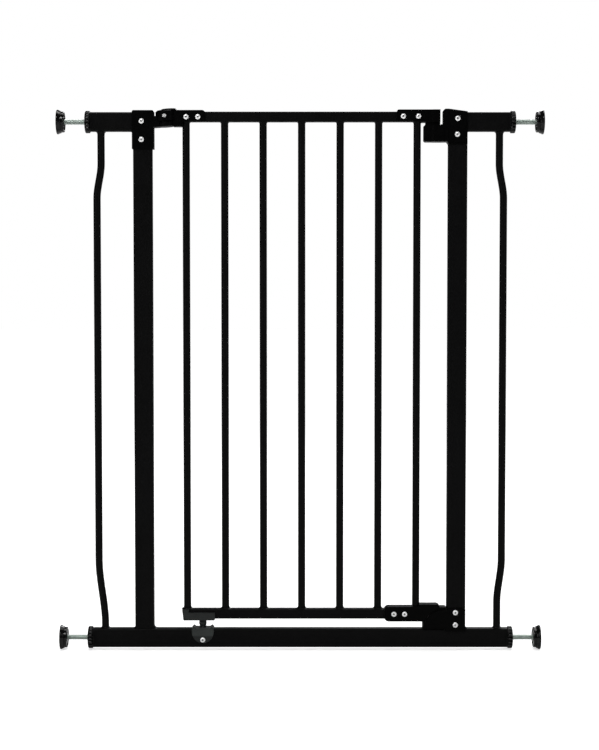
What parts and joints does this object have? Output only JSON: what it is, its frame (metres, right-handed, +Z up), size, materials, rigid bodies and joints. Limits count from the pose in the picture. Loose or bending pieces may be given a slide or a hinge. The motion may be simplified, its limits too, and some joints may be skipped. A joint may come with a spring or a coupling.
{
  "type": "pressure-fit child safety gate",
  "caption": "Black tubular safety gate held between two walls by threaded adjusters, with a barred door that lifts out of two catches and swings.",
  "frame": {"origin": "middle of the gate, on the level of the lowest points of the lower wall cups", "axes": "+Z up, +X from the hinge side to the latch side, +Y through the opening away from the screw heads"},
  "size_m": [0.726, 0.0364, 0.8138],
  "materials": {
    "black_coat": "satin black powder coat",
    "bracket_plastic": "fine moulded texture",
    "hinge_grey_plastic": "satin dark grey-green",
    "zinc_steel": "zinc plated",
    "screw_steel": "bright plated",
    "gloss_plastic": "gloss",
    "pad_rubber": "matte",
    "bush_plastic": "plain moulded",
    "nylon": "natural nylon"
  },
  "bodies": {
    "frame": {"bottom_rail": "black_coat", "left_upright": "black_coat", "right_upright": "black_coat", "left_top_stub": "black_coat", "right_top_stub": "black_coat", "left_outer_bar": "black_coat", "right_outer_bar": "black_coat", "hinge_bracket": "bracket_plastic", "hinge_bracket_screws": "screw_steel", "hinge_pin_top": "zinc_steel", "hinge_cup": "hinge_grey_plastic", "hinge_cup_screw": "screw_steel", "latch_bracket_top": "bracket_plastic", "latch_bracket_top_screws": "screw_steel", "latch_bracket_bottom": "bracket_plastic", "latch_bracket_bottom_screws": "screw_steel", "bush_left_bottom": "bush_plastic", "bush_left_top": "bush_plastic", "bush_right_bottom": "bush_plastic", "bush_right_top": "bush_plastic"},
    "hinge_swivel": {"hinge_pin_bottom": "hinge_grey_plastic"},
    "door": {"door_top_rail": "black_coat", "door_bottom_rail": "black_coat", "door_bar_1": "black_coat", "door_bar_2": "black_coat", "door_bar_3": "black_coat", "door_bar_4": "black_coat", "door_bar_5": "black_coat", "door_bar_6": "black_coat", "door_bar_7": "black_coat", "hinge_block": "bracket_plastic", "hinge_block_screws": "screw_steel", "hinge_block_nuts": "screw_steel", "hinge_set_screw": "screw_steel", "door_foot": "hinge_grey_plastic", "hinge_sleeve": "nylon", "door_latch_top": "bracket_plastic", "door_latch_top_screws": "screw_steel", "door_latch_top_nuts": "screw_steel", "door_latch_bottom": "bracket_plastic", "door_latch_bottom_screws": "screw_steel", "door_latch_bottom_nuts": "screw_steel"},
    "thumb_nut_left_bottom": {"nut_left_bottom": "gloss_plastic"},
    "adjuster_left_bottom": {"spindle_left_bottom": "zinc_steel", "pad_left_bottom": "pad_rubber", "cup_left_bottom": "gloss_plastic"},
    "thumb_nut_left_top": {"nut_left_top": "gloss_plastic"},
    "adjuster_left_top": {"spindle_left_top": "zinc_steel", "pad_left_top": "pad_rubber", "cup_left_top": "gloss_plastic"},
    "thumb_nut_right_bottom": {"nut_right_bottom": "gloss_plastic"},
    "adjuster_right_bottom": {"spindle_right_bottom": "zinc_steel", "pad_right_bottom": "pad_rubber", "cup_right_bottom": "gloss_plastic"},
    "thumb_nut_right_top": {"nut_right_top": "gloss_plastic"},
    "adjuster_right_top": {"spindle_right_top": "zinc_steel", "pad_right_top": "pad_rubber", "cup_right_top": "gloss_plastic"}
  },
  "joints": [
    {"name": "door_swing", "type": "hinge", "parent": "frame", "child": "hinge_swivel", "pos_m": [-0.1471, 0, 0.036], "axis": [-0.0692, 0, 0.9976], "range_deg": [-90, 90]},
    {"name": "door_lift", "type": "slide", "parent": "hinge_swivel", "child": "door", "axis": [-0.0692, 0, 0.9976], "range_m": [0, 0.012]},
    {"name": "nut_left_bottom_spin", "type": "hinge", "parent": "frame", "child": "thumb_nut_left_bottom", "pos_m": [-0.317, 0, 0.01825], "axis": [1, 0, 0], "range_deg": [-7201, 5761]},
    {"name": "spindle_left_bottom_slide", "type": "slide", "parent": "frame", "child": "adjuster_left_bottom", "axis": [-1, 0, 0], "range_m": [-0.025, 0.02]},
    {"name": "nut_left_top_spin", "type": "hinge", "parent": "frame", "child": "thumb_nut_left_top", "pos_m": [-0.317, 0, 0.79375], "axis": [1, 0, 0], "range_deg": [-7201, 5761]},
    {"name": "spindle_left_top_slide", "type": "slide", "parent": "frame", "child": "adjuster_left_top", "axis": [-1, 0, 0], "range_m": [-0.025, 0.02]},
    {"name": "nut_right_bottom_spin", "type": "hinge", "parent": "frame", "child": "thumb_nut_right_bottom", "pos_m": [0.317, 0, 0.01825], "axis": [-1, 0, 0], "range_deg": [-7201, 5761]},
    {"name": "spindle_right_bottom_slide", "type": "slide", "parent": "frame", "child": "adjuster_right_bottom", "axis": [1, 0, 0], "range_m": [-0.025, 0.02]},
    {"name": "nut_right_top_spin", "type": "hinge", "parent": "frame", "child": "thumb_nut_right_top", "pos_m": [0.317, 0, 0.79375], "axis": [-1, 0, 0], "range_deg": [-7201, 5761]},
    {"name": "spindle_right_top_slide", "type": "slide", "parent": "frame", "child": "adjuster_right_top", "axis": [1, 0, 0], "range_m": [-0.025, 0.02]}
  ],
  "couplings": [
    {"joint": "nut_left_bottom_spin", "follows": "spindle_left_bottom_slide", "rad_per_m": 5026.5},
    {"joint": "nut_left_top_spin", "follows": "spindle_left_top_slide", "rad_per_m": 5026.5},
    {"joint": "nut_right_bottom_spin", "follows": "spindle_right_bottom_slide", "rad_per_m": 5026.5},
    {"joint": "nut_right_top_spin", "follows": "spindle_right_top_slide", "rad_per_m": 5026.5}
  ]
}
